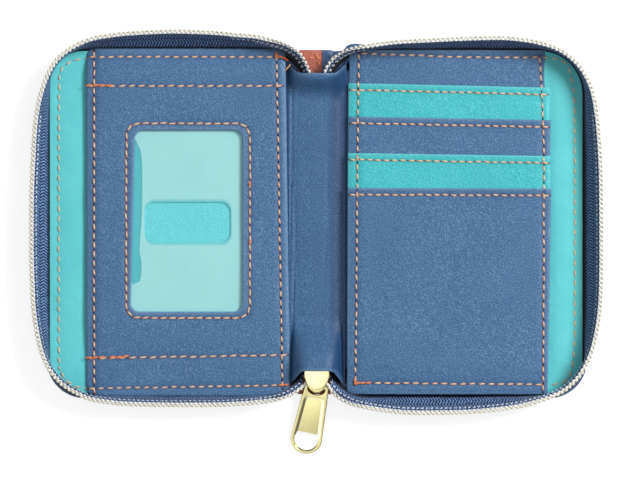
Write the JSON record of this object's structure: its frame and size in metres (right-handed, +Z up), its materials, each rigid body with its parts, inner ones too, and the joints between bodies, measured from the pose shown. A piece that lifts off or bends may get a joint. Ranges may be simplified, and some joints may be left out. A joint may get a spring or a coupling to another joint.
{
  "type": "zip-around bifold wallet",
  "caption": "Zip-around bifold wallet lying open, with card window, card slots, two folding covers and a zip slider with a hinged pull.",
  "frame": {"origin": "middle of the spine's underside", "axes": "+X to the right cover, +Y to the top edge, +Z up out of the open inside"},
  "size_m": [0.1873, 0.1395, 0.0106],
  "materials": {
    "blue_leather": "fine grain, satin",
    "teal_leather": "fine grain, satin",
    "teal_cloth": "plain woven lining",
    "stiffener": "plain board",
    "brown_leather": "fine grain, satin",
    "clear_film": "clear soft film",
    "zip_tape": "woven twill tape",
    "zip_teeth": "satin nylon coil",
    "brass": "pale polished plating"
  },
  "bodies": {
    "spine": {"spine_skin": "blue_leather", "spine_band": "brown_leather", "spine_lining": "blue_leather", "left_top_end_teeth": "zip_teeth", "left_top_end_tape": "zip_tape", "left_bottom_end_teeth": "zip_teeth", "left_bottom_end_tape": "zip_tape", "right_top_end_teeth": "zip_teeth", "right_top_end_tape": "zip_tape", "right_bottom_end_teeth": "zip_teeth", "right_bottom_end_tape": "zip_tape"},
    "left_cover": {"left_cover_skin": "blue_leather", "left_board": "stiffener", "left_lining": "teal_cloth", "left_zip_tape": "zip_tape", "left_zip_teeth": "zip_teeth", "id_pocket_back": "teal_leather", "id_window_film": "clear_film", "id_panel": "blue_leather"},
    "right_cover": {"right_cover_skin": "blue_leather", "right_board": "stiffener", "right_lining": "teal_cloth", "right_zip_tape": "zip_tape", "right_zip_teeth": "zip_teeth", "slot_base": "blue_leather", "card_slot_1": "teal_leather", "card_slot_2": "blue_leather", "card_slot_3": "teal_leather", "front_slot": "blue_leather"},
    "slider": {"slider": "brass"},
    "pull": {"pull": "brass"}
  },
  "joints": [
    {"name": "left_cover_fold", "type": "hinge", "parent": "spine", "child": "left_cover", "pos_m": [-0.009, 0, 0.002], "axis": [0, 1, 0], "range_deg": [0, 90], "deforming": ["left_top_end_teeth", "left_top_end_tape", "left_bottom_end_teeth", "left_bottom_end_tape"]},
    {"name": "right_cover_fold", "type": "hinge", "parent": "spine", "child": "right_cover", "pos_m": [0.009, 0, 0.002], "axis": [0, -1, 0], "range_deg": [0, 90], "deforming": ["right_top_end_teeth", "right_top_end_tape", "right_bottom_end_teeth", "right_bottom_end_tape"]},
    {"name": "slider_travel", "type": "slide", "parent": "spine", "child": "slider", "axis": [0, -1, 0], "range_m": [0, 0.001]},
    {"name": "pull_lift", "type": "hinge", "parent": "slider", "child": "pull", "pos_m": [0, -0.0537, 0.00345], "axis": [-1, 0, 0], "range_deg": [0, 15]}
  ]
}
